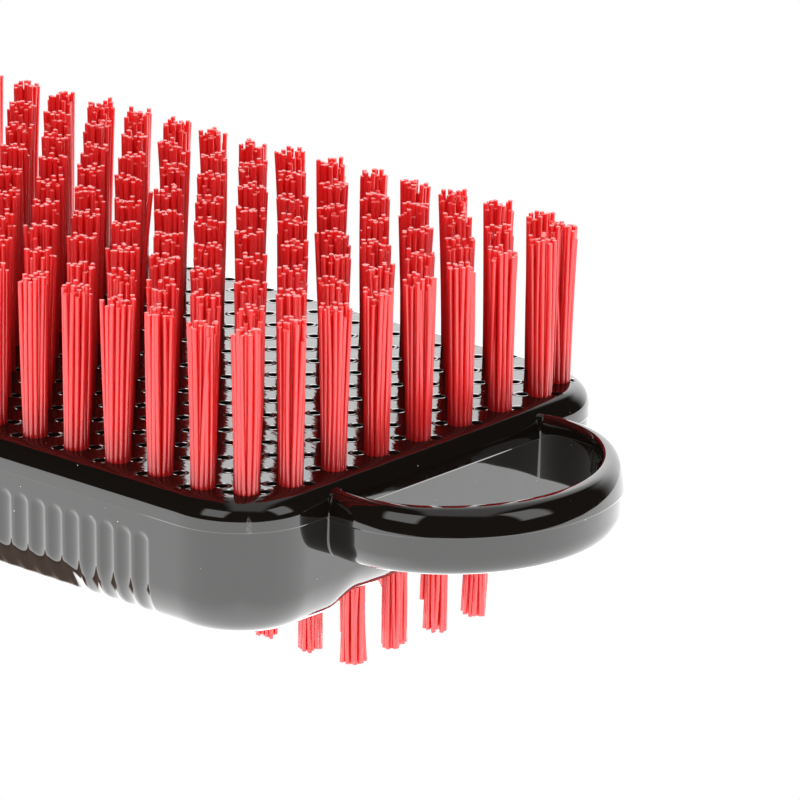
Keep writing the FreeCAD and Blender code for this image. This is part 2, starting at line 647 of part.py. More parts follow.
for part in doc.Objects:
    if "Invalid" in part.State or "Error" in part.State:
        raise RuntimeError(f"{part.Label} doesn't compute: {part.State}")

os.makedirs("parts", exist_ok=True)
for part in subparts:
    if part.Shape.isNull() or not part.Shape.isValid():
        raise RuntimeError(f"{part.Label} has no valid shape")
    part.Shape.exportStep(f"parts/{part.Label}.step")
    print(part.Label, len(part.Shape.Solids), "solids", round(part.Shape.Volume, 1), "mm3")
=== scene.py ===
import math

import bpy
import numpy as np
from mathutils import Matrix, Vector


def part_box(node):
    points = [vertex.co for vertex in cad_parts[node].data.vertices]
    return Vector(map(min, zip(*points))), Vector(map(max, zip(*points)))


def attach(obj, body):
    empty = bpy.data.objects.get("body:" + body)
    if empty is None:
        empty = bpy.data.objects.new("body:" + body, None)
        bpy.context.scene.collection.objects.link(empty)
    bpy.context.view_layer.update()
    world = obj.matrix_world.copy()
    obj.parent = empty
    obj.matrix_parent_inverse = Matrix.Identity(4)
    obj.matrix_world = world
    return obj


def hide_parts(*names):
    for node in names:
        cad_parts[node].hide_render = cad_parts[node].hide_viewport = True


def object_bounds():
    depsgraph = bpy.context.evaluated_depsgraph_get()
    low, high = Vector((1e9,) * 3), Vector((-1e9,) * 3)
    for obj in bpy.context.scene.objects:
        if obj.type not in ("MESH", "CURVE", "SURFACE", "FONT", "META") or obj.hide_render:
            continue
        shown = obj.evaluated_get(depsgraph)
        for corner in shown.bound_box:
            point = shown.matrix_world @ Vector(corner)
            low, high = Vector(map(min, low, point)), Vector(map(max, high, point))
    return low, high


# Double-sided nail brush: black glossy moulding, red filament tufts, metal anchors in the sockets.
# Lengths are in millimetres and are scaled to metres where meshes are made.

MM = 0.001
QUARTER = math.pi / 2
RANDOM = np.random.default_rng(7)

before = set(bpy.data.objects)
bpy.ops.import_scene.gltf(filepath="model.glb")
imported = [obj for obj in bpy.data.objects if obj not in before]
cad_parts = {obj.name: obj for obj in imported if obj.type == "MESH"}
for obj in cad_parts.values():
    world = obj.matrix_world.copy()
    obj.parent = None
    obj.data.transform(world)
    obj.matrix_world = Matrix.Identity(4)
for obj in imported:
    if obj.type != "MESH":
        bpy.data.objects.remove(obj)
cad_low, cad_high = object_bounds()

body_low, body_high = (np.array(corner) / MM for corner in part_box("brush_body"))
TOP = body_high[2]
FOOT = body_low[2]
HALF_WIDTH = body_high[1]
REAR_WALL = body_low[0]

# Plan of the moulding
LOOP_REACH = 13.8
END_WALL = body_high[0] - LOOP_REACH
CENTRE = (END_WALL + REAR_WALL) / 2
PLAN_RADIUS = 6.9

# Grid of the tufts; the corner ones are drawn in
TUFT_PITCH = 4.3
TUFTS_IN_ROW = 17
ROW_PITCH = 4.8
MAIN_ROWS = 9
NAIL_ROWS = 4
END_MARGIN = 2.6
CORNER_ALONG = 1.1
CORNER_ACROSS = 1.2
GRID_HALF_LONG = (TUFTS_IN_ROW - 1) / 2 * TUFT_PITCH
GRID_HALF_WIDE = (MAIN_ROWS - 1) / 2 * ROW_PITCH

# Rounded rim, elliptical lower edge and trough
RIM_RADIUS = 1.6
FOOT_WIDE = 1.9
FOOT_HIGH = 3.3
TROUGH_DEPTH = 0.85
TROUGH_HALF = 8.7
TROUGH_FLANK = 3.4
TROUGH_FADE = 6.0

# Parting line, with the draft of the two mould halves
PARTING = TOP - 2.25
PARTING_STEP = 0.045
PARTING_SLOPE = 0.07
UPPER_DRAFT = math.tan(math.radians(2.5))
LOWER_DRAFT = math.tan(math.radians(0.8))

# Waist under the grip
WAIST_TOP = FOOT + 2.6
WAIST_SLOPE = math.tan(math.radians(28))
WAIST_HALF = (END_WALL - REAR_WALL) / 2 - 17.0
WAIST_CORNER = 1.2
WAIST_BLEND = 0.12

# Grip flutes
FLUTE_PITCH = 1.77
FLUTE_COUNT = 31
FLUTE_HALF = 0.7
FLUTE_DEPTH = 0.13
FLUTE_END = TOP - 3.65
FLUTE_BLEND = 0.035
FLUTE_ON_WAIST = 0.12
FIRST_FLUTE = CENTRE - (FLUTE_COUNT - 1) / 2 * FLUTE_PITCH

# Torn-off gate on the near corner
GATE_TURN = math.radians(48)
GATE_HALF = 0.12
GATE_RISE = 0.07
GATE_TOP = TOP - 1.3

# Slits that an anchor leaves beside its tuft
SLIT_AWAY = 1.35
SLIT_HALF_LONG = 0.5
SLIT_HALF_WIDE = 0.42

# Relief of the moulding's skin
WAVE_RELIEF = 0.02
RIPPLE_RELIEF = 0.008
LIP_RELIEF = 0.02


def smooth_step(low, high, value):
    t = np.clip((value - low) / (high - low), 0, 1)
    return t * t * (3 - 2 * t)


def smooth_max(a, b, width):
    h = np.clip(0.5 + 0.5 * (b - a) / width, 0, 1)
    return a * (1 - h) + b * h + width * h * (1 - h)


def make_object(name, points, faces, material, slot_name, *nodes):
    """A smooth mesh from points in millimetres, riding on the only body."""
    mesh = bpy.data.meshes.new(name)
    mesh.from_pydata((np.asarray(points) * MM).tolist(), [], faces)
    mesh.polygons.foreach_set("use_smooth", [True] * len(mesh.polygons))
    mesh.materials.append(material)
    mesh.update()
    made = bpy.data.objects.new(name, mesh)
    bpy.context.scene.collection.objects.link(made)
    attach(made, "root")
    if nodes:
        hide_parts(*nodes)
    return made


def strip_quads(index, axis, closed_axis):
    """Corners, in order, of the quads on a grid of point numbers that is closed along one axis."""
    after = np.roll(index, -1, closed_axis)
    near, far = np.delete(index, -1, axis), np.delete(index, 0, axis)
    near_after, far_after = np.delete(after, -1, axis), np.delete(after, 0, axis)
    return near, far, far_after, near_after


# Materials

class Field:
    """A number that varies over a surface, built up from math nodes with ordinary arithmetic."""

    def __init__(self, tree, socket):
        self.tree = tree
        self.socket = socket

    def math(self, operation, *others):
        node = self.tree.nodes.new("ShaderNodeMath")
        node.operation = operation
        for socket, value in zip(node.inputs, (self, *others)):
            if isinstance(value, Field):
                self.tree.links.new(value.socket, socket)
            else:
                socket.default_value = value
        return Field(self.tree, node.outputs[0])

    def __add__(self, other):
        return self.math("ADD", other)

    def __sub__(self, other):
        return self.math("SUBTRACT", other)

    def __mul__(self, other):
        return self.math("MULTIPLY", other)

    def __truediv__(self, other):
        return self.math("DIVIDE", other)

    def squared(self):
        return self.math("MULTIPLY", self)

    def size(self):
        return self.math("ABSOLUTE")

    def above(self, level):
        return self.math("GREATER_THAN", level)

    def off_grid(self):
        return self - self.math("ROUND")

    def ramp(self, low, high, start=0.0, end=1.0):
        node = self.tree.nodes.new("ShaderNodeMapRange")
        node.interpolation_type = "SMOOTHSTEP"
        self.tree.links.new(self.socket, node.inputs["Value"])
        node.inputs["From Min"].default_value = low
        node.inputs["From Max"].default_value = high
        node.inputs["To Min"].default_value = start
        node.inputs["To Max"].default_value = end
        return Field(self.tree, node.outputs["Result"])

    def fading(self, low, high):
        """1 below the low level, 0 above the high one."""
        return self.ramp(low, high, 1.0, 0.0)


def new_material(name):
    """An empty material, its node tree and the socket that takes its surface."""
    made = bpy.data.materials.new(name)
    made.use_nodes = True
    tree = made.node_tree
    tree.nodes.clear()
    out = tree.nodes.new("ShaderNodeOutputMaterial")
    return made, tree, out.inputs["Surface"]


def object_place(tree):
    """The vector socket of the place on the object, and its three coordinates in millimetres."""
    place = tree.nodes.new("ShaderNodeTexCoord")
    split = tree.nodes.new("ShaderNodeSeparateXYZ")
    tree.links.new(place.outputs["Object"], split.inputs[0])
    coordinates = [Field(tree, split.outputs[axis]) * (1 / MM) for axis in "XYZ"]
    return place.outputs["Object"], coordinates


def noise(tree, place, scale, detail=2.0, stretch=(1.0, 1.0, 1.0)):
    node = tree.nodes.new("ShaderNodeTexNoise")
    node.inputs["Scale"].default_value = scale
    node.inputs["Detail"].default_value = detail
    scaled = tree.nodes.new("ShaderNodeVectorMath")
    scaled.operation = "MULTIPLY"
    scaled.inputs[1].default_value = stretch
    tree.links.new(place, scaled.inputs[0])
    tree.links.new(scaled.outputs[0], node.inputs["Vector"])
    return Field(tree, node.outputs["Fac"])


def tinted(tree, factor, plain, tint):
    """A colour socket that goes from a plain colour, or a socket with one, to a tint."""
    node = tree.nodes.new("ShaderNodeMix")
    node.data_type = "RGBA"
    tree.links.new(factor, node.inputs["Factor"])
    if isinstance(plain, tuple):
        node.inputs["A"].default_value = plain
    else:
        tree.links.new(plain, node.inputs["A"])
    node.inputs["B"].default_value = tint
    return node.outputs["Result"]


def one_mark(aside_x, aside_y):
    """Marks of one tuft from the distances to its middle; the anchor stands at 45 degrees."""
    p = (aside_x + aside_y) * math.sqrt(0.5)
    q = (aside_y - aside_x) * math.sqrt(0.5)
    along = (p.size() - SLIT_AWAY) / SLIT_HALF_LONG
    return along.squared() + (q / SLIT_HALF_WIDE).squared()


def corner_marks(x, y):
    """Marks of the four tufts that are drawn in from the corners of the grid."""
    aside_x = x - x.math("SIGN") * (GRID_HALF_LONG - CORNER_ALONG)
    aside_y = y - y.math("SIGN") * (GRID_HALF_WIDE - CORNER_ACROSS)
    return one_mark(aside_x, aside_y)


def anchor_marks(x, y):
    """Below 1 inside the slits that the anchors leave beside each tuft, rising around them."""
    from_middle = x - (END_WALL - END_MARGIN - GRID_HALF_LONG)
    along = from_middle / TUFT_PITCH
    across = y / ROW_PITCH
    corner = along.size().above(TUFTS_IN_ROW / 2 - 1) * across.size().above(MAIN_ROWS / 2 - 1)
    regular = one_mark(along.off_grid() * TUFT_PITCH, across.off_grid() * ROW_PITCH)
    out_of_reach = 100.0
    regular = regular + corner * out_of_reach
    return regular.math("MINIMUM", corner_marks(from_middle, y))


def gate_scar(x, y, z):
    """1 on the whitened strip where the gate was torn off."""
    gate_x = END_WALL - PLAN_RADIUS * (1 - math.sin(GATE_TURN))
    gate_y = -HALF_WIDTH + PLAN_RADIUS * (1 - math.cos(GATE_TURN))
    aside = ((x - gate_x).squared() + (y - gate_y).squared()).math("SQRT")
    upright = z.ramp(PARTING - 0.15, PARTING) * z.fading(GATE_TOP, GATE_TOP + 0.4)
    return aside.fading(0.1, 0.26) * upright


def dust(tree, place):
    """1 on small scattered specks."""
    cells = tree.nodes.new("ShaderNodeTexVoronoi")
    cells.inputs["Scale"].default_value = 1500.0
    tree.links.new(place, cells.inputs["Vector"])
    split = tree.nodes.new("ShaderNodeSeparateColor")
    tree.links.new(cells.outputs["Color"], split.inputs[0])
    chosen = Field(tree, split.outputs["Red"]).above(0.6)
    speck = Field(tree, split.outputs["Green"]).squared() * 0.06 + 0.012
    return chosen * (speck - Field(tree, cells.outputs["Distance"])).above(0.0)


def moulding_material():
    """Black plastic with a mirror gloss, faint waves, anchor marks with painted shade in their
    slits, dust and a pale gate mark.
    """
    made, tree, surface = new_material("black_moulding")
    skin = tree.nodes.new("ShaderNodeBsdfPrincipled")
    skin.inputs["IOR"].default_value = 1.56
    tree.links.new(skin.outputs[0], surface)
    place, (x, y, z) = object_place(tree)
    on_top = z.ramp(TOP - 0.12, TOP - 0.02)

    marks = anchor_marks(x, y)
    waves = noise(tree, place, 330.0, 1.0)
    ripples = noise(tree, place, 1500.0, 3.0, (0.5, 1.4, 1.0))
    lip = marks.ramp(0.8, 1.3) * marks.fading(1.3, 2.6)
    height = waves * WAVE_RELIEF + on_top * (ripples * RIPPLE_RELIEF + lip * LIP_RELIEF)
    bump = tree.nodes.new("ShaderNodeBump")
    bump.inputs["Strength"].default_value = 1.0
    bump.inputs["Distance"].default_value = MM
    tree.links.new(height.socket, bump.inputs["Height"])
    tree.links.new(bump.outputs[0], skin.inputs["Normal"])

    # Painted shade: the specular level is halved inside the slits, so they read dark.
    slit = on_top * marks.fading(0.75, 1.05)
    slit_painted_shade = slit * -0.5 + 0.5
    tree.links.new(slit_painted_shade.socket, skin.inputs["Specular IOR Level"])

    gate = gate_scar(x, y, z) * noise(tree, place, 6000.0, 2.0).ramp(0.35, 0.6)
    haze = noise(tree, place, 700.0, 4.0).ramp(0.45, 0.75, 0.035, 0.075) + gate * 0.25
    tree.links.new(haze.socket, skin.inputs["Roughness"])

    pale = dust(tree, place).math("MAXIMUM", gate * 0.1)
    colour = tinted(tree, pale.socket, (0.0046, 0.0034, 0.0026, 1), (0.5, 0.48, 0.46, 1))
    tree.links.new(colour, skin.inputs["Base Color"])
    return made


def bristle_material():
    """Red nylon filaments: satin, translucent, paler on the cut ends, with painted shade darkening
    them near the block.
    """
    made, tree, surface = new_material("red_nylon")
    skin = tree.nodes.new("ShaderNodeBsdfPrincipled")
    skin.inputs["Roughness"].default_value = 0.24
    skin.inputs["IOR"].default_value = 1.53
    skin.inputs["Specular IOR Level"].default_value = 0.95

    shade = tree.nodes.new("ShaderNodeAttribute")
    shade.attribute_name = "shade"
    ramp = tree.nodes.new("ShaderNodeValToRGB")
    ramp.color_ramp.elements[0].color = (0.88, 0.022, 0.024, 1)
    ramp.color_ramp.elements[1].color = (0.96, 0.05, 0.052, 1)
    tree.links.new(shade.outputs["Fac"], ramp.inputs["Fac"])
    cut = tree.nodes.new("ShaderNodeAttribute")
    cut.attribute_name = "cut"
    colour = tinted(tree, cut.outputs["Fac"], ramp.outputs["Color"], (1.0, 0.2, 0.19, 1))

    # Painted shade: the base colour is darkened near the block, to 0.62 at the top face.
    height = object_place(tree)[1][2] - TOP
    painted_base_shade = tree.nodes.new("ShaderNodeVectorMath")
    painted_base_shade.operation = "SCALE"
    tree.links.new(colour, painted_base_shade.inputs[0])
    tree.links.new(height.size().ramp(0.0, 4.0, 0.62, 1.0).socket, painted_base_shade.inputs["Scale"])
    tree.links.new(painted_base_shade.outputs[0], skin.inputs["Base Color"])

    glow = tree.nodes.new("ShaderNodeBsdfTranslucent")
    glow.inputs["Color"].default_value = (0.98, 0.1, 0.1, 1)
    mix = tree.nodes.new("ShaderNodeMixShader")
    mix.inputs["Fac"].default_value = 0.4
    tree.links.new(skin.outputs[0], mix.inputs[1])
    tree.links.new(glow.outputs[0], mix.inputs[2])
    tree.links.new(mix.outputs[0], surface)
    return made


def anchor_material():
    """Plain rolled strip with a fine grain."""
    made, tree, surface = new_material("anchor_metal")
    skin = tree.nodes.new("ShaderNodeBsdfPrincipled")
    skin.inputs["Base Color"].default_value = (0.55, 0.55, 0.56, 1)
    skin.inputs["Metallic"].default_value = 1.0
    place = object_place(tree)[0]
    grain = noise(tree, place, 3000.0, 3.0, (1.0, 1.0, 0.1)).ramp(0.3, 0.7, 0.25, 0.45)
    tree.links.new(grain.socket, skin.inputs["Roughness"])
    tree.links.new(skin.outputs[0], surface)
    return made


BLACK = moulding_material()
RED = bristle_material()
METAL = anchor_material()


# Block

CORNER_STEPS = 33
RIM_STEPS = 17
FOOT_STEPS = 27
END_STATIONS = 62


def trough_rise(y):
    """Height of the underside above the foot: a flat trough floor between S-shaped flanks."""
    across = (np.abs(y) - TROUGH_HALF) / TROUGH_FLANK
    return TROUGH_DEPTH * (1 - smooth_step(0, 1, across))


def side_columns():
    """Stations along a straight side, close together at the edges of the flutes."""
    half = [0.0, 0.2, 0.38, 0.52, 0.61, 0.69, 0.78]
    offsets = np.array(sorted([-step for step in half[1:]] + half + [FLUTE_PITCH / 2]))
    middles = FIRST_FLUTE + np.arange(FLUTE_COUNT) * FLUTE_PITCH
    fluted = (middles[:, None] + offsets).ravel()
    start = REAR_WALL + PLAN_RADIUS
    end = END_WALL - PLAN_RADIUS
    before = np.arange(start + 0.4, fluted[0] - 0.2, 0.5)
    after = np.arange(fluted[-1] + 0.3, end - 0.2, 0.5)
    return np.concatenate([before, fluted, after])


def block_outline():
    """Points and outward normals round the plan, from the near right corner on, anticlockwise."""
    side_x = END_WALL - PLAN_RADIUS
    side_y = HALF_WIDTH - PLAN_RADIUS
    turns = np.linspace(0, QUARTER, CORNER_STEPS)
    gate = GATE_TURN + np.linspace(-0.09, 0.09, 13)
    end_y = np.linspace(-side_y, side_y, END_STATIONS)[1:-1]
    near_turns = np.union1d(turns, gate) - QUARTER
    near_corner = np.stack([np.cos(near_turns), np.sin(near_turns)], 1)
    far_corner = np.stack([np.cos(turns), np.sin(turns)], 1)
    right = np.concatenate([
        np.array((side_x, -side_y)) + PLAN_RADIUS * near_corner,
        np.stack([np.full_like(end_y, END_WALL), end_y], 1),
        np.array((side_x, side_y)) + PLAN_RADIUS * far_corner,
    ])
    ahead = np.tile([1.0, 0.0], (len(end_y), 1))
    right_normals = np.concatenate([near_corner, ahead, far_corner])
    left = np.stack([2 * CENTRE - right[::-1, 0], right[::-1, 1]], 1)
    left_normals = np.stack([-right_normals[::-1, 0], right_normals[::-1, 1]], 1)
    inner = side_columns()
    far = np.stack([inner[::-1], np.full_like(inner, HALF_WIDTH)], 1)
    near = np.stack([inner, np.full_like(inner, -HALF_WIDTH)], 1)
    up = np.tile([0.0, 1.0], (len(inner), 1))
    outline = np.concatenate([right, far, left, near])
    outward = np.concatenate([right_normals, up, left_normals, -up])
    return outline, outward, len(right), len(inner)


def flute_inset(x, z):
    """Depth of the grip flutes below the wall: shallow hollows with soft flanks and round tops."""
    number = np.clip(np.round((x - FIRST_FLUTE) / FLUTE_PITCH), 0, FLUTE_COUNT - 1)
    aside = x - FIRST_FLUTE - number * FLUTE_PITCH
    above = np.maximum(z - (FLUTE_END - FLUTE_HALF), 0)
    hollow = 1 - (aside**2 + above**2) / FLUTE_HALF**2
    depth = FLUTE_DEPTH * hollow * smooth_step(FOOT - 0.4, FOOT + 1.2, z)
    return smooth_max(depth, np.zeros_like(depth), FLUTE_BLEND)


def waist_inset(x, z):
    """Depth of the turned-under waist below the wall, with rounded ends."""
    deep = (WAIST_TOP - z) * WAIST_SLOPE
    corner = WAIST_CORNER + deep
    reach = WAIST_HALF + deep
    past = np.maximum(np.abs(x - CENTRE) - (reach - corner), 0)
    round_off = corner - np.sqrt(np.maximum(corner**2 - past**2, 0))
    inset = np.where(past >= corner, -1.0, deep - round_off)
    return np.where(z > WAIST_TOP + 0.5, -1.0, inset)


def block_profile():
    """Rows from the top face down to the underside: height for an untroughed foot, and inset."""
    rows = []
    for angle in np.linspace(0, QUARTER, RIM_STEPS):
        rows.append((TOP - RIM_RADIUS * (1 - math.cos(angle)), RIM_RADIUS * (1 - math.sin(angle))))
    heights = np.concatenate([
        np.linspace(TOP - RIM_RADIUS, PARTING + 0.1, 3)[1:],
        PARTING + np.array([0.04, 0.0, -0.035, -0.07, -0.12]),
        np.linspace(PARTING - 0.5, FLUTE_END + 0.15, 3),
        np.linspace(FLUTE_END + 0.05, FLUTE_END - 0.85, 12),
        np.linspace(FLUTE_END - 1.1, FOOT + FOOT_HIGH, 4),
    ])
    rows += [(z, 0.0) for z in heights]
    for angle in np.linspace(0, QUARTER, FOOT_STEPS)[1:]:
        height = FOOT + FOOT_HIGH * (1 - math.sin(angle))
        rows.append((height, FOOT_WIDE * (1 - math.cos(angle))))
    return np.array(rows)


def wall_inset(outward, height):
    """Draft of the two mould halves away from the parting line, and the small step between them."""
    on_end = 1 + np.maximum(outward[:, :1], 0)
    upper = np.maximum(height - PARTING, 0) * UPPER_DRAFT * on_end
    lower = np.maximum(PARTING - height, 0) * LOWER_DRAFT
    step = PARTING_STEP * (1 - smooth_step(PARTING - PARTING_SLOPE, PARTING, height))
    return upper + lower + step


def gate_ridge(outward, height):
    """A torn-off gate: a short upright ridge on the near corner, from rim to parting line."""
    turn = np.arctan2(outward[:, 0], -outward[:, 1])[:, None]
    aside = (turn - GATE_TURN) * PLAN_RADIUS / GATE_HALF
    level = smooth_step(PARTING - 0.1, PARTING + 0.1, height)
    level = level * (1 - smooth_step(GATE_TOP, GATE_TOP + 0.5, height))
    return GATE_RISE * np.exp(-(aside**2)) * level


def build_block():
    """Points and faces of the block: walls row by row, a flat top and a troughed underside."""
    outline, outward, right_count, side_count = block_outline()
    rows = block_profile()
    height = np.repeat(rows[None, :, 0], len(outline), 0)
    inset = np.repeat(rows[None, :, 1], len(outline), 0)
    x = np.broadcast_to(outline[:, 0][:, None], height.shape)
    y = outline[:, 1][:, None]
    height = height + trough_rise(y) * (1 - smooth_step(FOOT, FOOT + TROUGH_FADE, height))
    on_side = np.abs(outward[:, 1]) > 0.999
    waist = waist_inset(x, height)
    flute = flute_inset(x, height)
    worked = smooth_max(inset + flute, waist + FLUTE_ON_WAIST * flute, WAIST_BLEND)
    inset = np.where(on_side[:, None], worked, inset) + wall_inset(outward, height)
    inset = np.maximum(inset, 0) - gate_ridge(outward, height)
    points = np.empty(height.shape + (3,))
    points[..., :2] = outline[:, None, :] - outward[:, None, :] * inset[..., None]
    points[..., 2] = height

    index = np.arange(height.size).reshape(height.shape)
    near, far, far_after, near_after = strip_quads(index, 1, 0)
    faces = np.stack([near, far, far_after, near_after], -1).reshape(-1, 4).tolist()
    faces.append(index[:, 0].tolist())
    lowest = index[:, -1].tolist()
    right = lowest[:right_count]
    far_side = lowest[right_count:right_count + side_count]
    left = lowest[right_count + side_count:2 * right_count + side_count][::-1]
    near_side = lowest[2 * right_count + side_count:]
    for k in range(1, right_count - 2):
        faces.append([right[k], left[k], left[k + 1], right[k + 1]])
    faces.append([right[0], *near_side[::-1], left[0], left[1], right[1]])
    faces.append([left[-1], *far_side[::-1], right[-1], right[-2], left[-2]])
    return points.reshape(-1, 3), faces


# Hanging loop

LOOP_DROP = 0.5
LOOP_DEPTH = 5.1
LOOP_FLARE = 0.22
LOOP_ROOT = -1.2
OUTER_HALF = 13.25
OUTER_SHOULDER = 10.3
OUTER_WIDEST = 2.0
INNER_HALF = 11.5
INNER_REACH = 11.5
INNER_SHOULDER = 8.5
INNER_WIDEST = 1.5
FLARE_STEPS = 12
SHOULDER_STEPS = 44
END_STEPS = 50

# Section of the loop's band: rounded inner edge, domed top, elliptical outer foot, inner lip
BAND_CREST = 0.5
BAND_INNER_DROP = 1.6
BAND_DOME = 3.6
BAND_SEAM = TOP - LOOP_DROP - PARTING + 0.22
BAND_FOOT_WIDE = 1.05
BAND_FOOT_HIGH = 1.7
BAND_LIP = 0.3


def loop_outline(half, reach, shoulder, widest, flare, outside):
    """Points along one outline of the loop from its near arm to its far one, even on its curves."""
    shoulder_y = half - shoulder
    past = reach - widest
    far = (shoulder_y**2 + past**2 - shoulder**2) / (2 * (past - shoulder))
    far_x = reach - far
    apart = shoulder + flare if outside else shoulder - flare
    flare_x = flare - 0.1
    flare_y = shoulder_y + math.sqrt(apart**2 - (widest - flare_x) ** 2)
    turn = math.atan2(shoulder_y, widest - far_x)
    joint = math.atan2(flare_y - shoulder_y, flare_x - widest)
    flare_start = math.pi + joint if outside else joint
    parts = [
        (far_x, 0.0, far, np.linspace(0, turn, END_STEPS)),
        (widest, shoulder_y, shoulder, np.linspace(turn, joint, SHOULDER_STEPS)[1:]),
        (flare_x, flare_y, flare, np.linspace(flare_start, math.pi, FLARE_STEPS)[1:]),
    ]
    left = np.concatenate([
        np.stack([cx + radius * np.cos(angles), cy + radius * np.sin(angles)], 1)
        for cx, cy, radius, angles in parts
    ])
    left = np.concatenate([left, [[LOOP_ROOT, left[-1, 1]]]])
    right = left[:0:-1] * [1, -1]
    return np.concatenate([right, left])


def band_section(width):
    """Points round the band's section: distance from the inner side, depth below the band's top."""
    last = (1 - (1 - BAND_SEAM / BAND_DOME) ** 2) ** (1 / 3)
    dome_across = (width - BAND_CREST) / last
    outer = width - PARTING_STEP
    section = []
    for angle in np.linspace(0, QUARTER, 9)[:-1]:
        across = BAND_CREST * (1 - math.cos(angle))
        section.append((across, BAND_INNER_DROP * (1 - math.sin(angle))))
    for share in last * np.sin(np.linspace(0, QUARTER, 25)):
        across = BAND_CREST + dome_across * share
        section.append((across, BAND_DOME * (1 - math.sqrt(1 - share**3))))
    section += [(outer, BAND_SEAM + 0.05), (outer, BAND_SEAM + 0.12)]
    for angle in np.linspace(0, QUARTER, 11):
        across = outer - BAND_FOOT_WIDE * (1 - math.cos(angle))
        section.append((across, LOOP_DEPTH - BAND_FOOT_HIGH * (1 - math.sin(angle))))
    for angle in np.linspace(QUARTER, 0, 5):
        across = BAND_LIP * (1 - math.cos(angle))
        section.append((across, LOOP_DEPTH - BAND_LIP * (1 - math.sin(angle))))
    return np.array(section)


def build_loop():
    """Points and faces of the loop: its section carried along between the two outlines."""
    outer = loop_outline(OUTER_HALF, LOOP_REACH, OUTER_SHOULDER, OUTER_WIDEST, LOOP_FLARE, True)
    inner = loop_outline(INNER_HALF, INNER_REACH, INNER_SHOULDER, INNER_WIDEST, LOOP_FLARE, False)
    points = []
    for inner_point, outer_point in zip(inner, outer):
        width = float(np.linalg.norm(outer_point - inner_point))
        section = band_section(width)
        plan = inner_point + (outer_point - inner_point) * (section[:, :1] / width)
        height = TOP - LOOP_DROP - section[:, 1]
        points.append(np.column_stack([plan[:, 0] + END_WALL, plan[:, 1], height]))
    points = np.array(points)
    index = np.arange(points[..., 0].size).reshape(points.shape[:2])
    near, far, far_after, near_after = strip_quads(index, 0, 1)
    quads = np.stack([near, far, far_after, near_after], -1).reshape(-1, 4)
    return points.reshape(-1, 3), quads.tolist()


body_points, body_faces = build_block()
loop_points, loop_faces = build_loop()
loop_faces = [[n + len(body_points) for n in face] for face in loop_faces]
make_object("moulding", np.concatenate([body_points, loop_points]), body_faces + loop_faces,
            BLACK, "moulding", "brush_body")


# Tufts

FILAMENT = 0.185
SIDES = 8
# Rings along a filament, as shares of its length, and rings of filaments in a socket
SHARES = np.array([0.0, 0.2, 0.42, 0.64, 0.85, 0.993, 1.0])
RINGS = len(SHARES)
FILAMENT_RINGS = ((0.5, 6), (1.0, 13))

# How far filaments stray from the straight line, in standard deviations
SPLAY = 0.085
TUFT_SPLAY = 0.07
STRAY_SHARE = 0.045
STRAY_SPLAY = 0.36
BOW = 0.05
TRIM_LEAN = 0.12
TRIM_SLANT = 0.2
SPLAY_CURVE = 1.3

# Radius at the block, widening towards the tips and unevenness of the tips
MAIN_BUNDLE = (0.76, 1.27, 0.5)
NAIL_BUNDLE = (0.72, 1.06, 0.2)
ROOT_DEPTH = 0.6


def tuft_places(node):
    """Middle of each tuft in the plan, one for each separate solid of the CAD node."""
    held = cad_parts[node]
    mesh = held.data
    points = np.array([held.matrix_world @ v.co for v in mesh.vertices]) / MM
    _, spot = np.unique(np.round(points, 3), axis=0, return_inverse=True)
    spot = spot.ravel()
    ends = spot[np.array([edge.vertices[:] for edge in mesh.edges])]
    label = np.arange(spot.max() + 1)
    while True:
        low = np.minimum(label[ends[:, 0]], label[ends[:, 1]])
        joined = label.copy()
        np.minimum.at(joined, ends[:, 0], low)
        np.minimum.at(joined, ends[:, 1], low)
        if (joined == label).all():
            break
        label = joined
    places = []
    for island in np.unique(label):
        plan = points[label[spot] == island, :2]
        places.append((plan.min(0) + plan.max(0)) / 2)
    return sorted(places, key=lambda place: place[0])


def packed_disc(radius):
    """Centres of filaments packed into a round hole, in rings."""
    places = [(0.0, 0.0)]
    for ring, number in FILAMENT_RINGS:
        start = RANDOM.uniform(0, 2 * math.pi)
        for k in range(number):
            angle = start + 2 * math.pi * k / number
            places.append((ring * radius * math.cos(angle), ring * radius * math.sin(angle)))
    return np.array(places)


def tuft_points(centre, root, tips, bundle):
    """All filaments of one tuft as an array: filament, ring, side, coordinate."""
    base_radius, spread, uneven = bundle
    start = packed_disc(base_radius)
    count = len(start)
    outward = start * spread + RANDOM.normal(0, SPLAY, start.shape)
    outward = outward + RANDOM.normal(0, TUFT_SPLAY, 2)
    stray = RANDOM.random(count) < STRAY_SHARE
    outward[stray] += RANDOM.normal(0, STRAY_SPLAY, (int(stray.sum()), 2))
    bow = RANDOM.normal(0, BOW, start.shape)
    lean = RANDOM.normal(0, TRIM_LEAN, 2)
    shorter = np.abs(RANDOM.normal(0, uneven, count)) + np.maximum(outward @ lean, 0)
    direction = math.copysign(1, tips - root)
    plan = (start[:, None] + (outward - start)[:, None] * (SHARES**SPLAY_CURVE)[None, :, None]
            + bow[:, None] * (np.sin(SHARES * math.pi))[None, :, None])
    height = root + (tips - root - direction * shorter)[:, None] * SHARES[None, :]
    turns = np.arange(SIDES) * 2 * math.pi / SIDES
    circle = FILAMENT * np.stack([np.cos(turns), np.sin(turns)], 1)
    points = np.empty((count, RINGS, SIDES, 3))
    points[..., :2] = centre + plan[:, :, None, :] + circle[None, None]
    points[..., 2] = height[:, :, None]
    slant = np.abs(RANDOM.normal(0, TRIM_SLANT, (count, 2)) @ circle.T)
    points[:, -2:, :, 2] -= direction * slant[:, None, :]
    return points


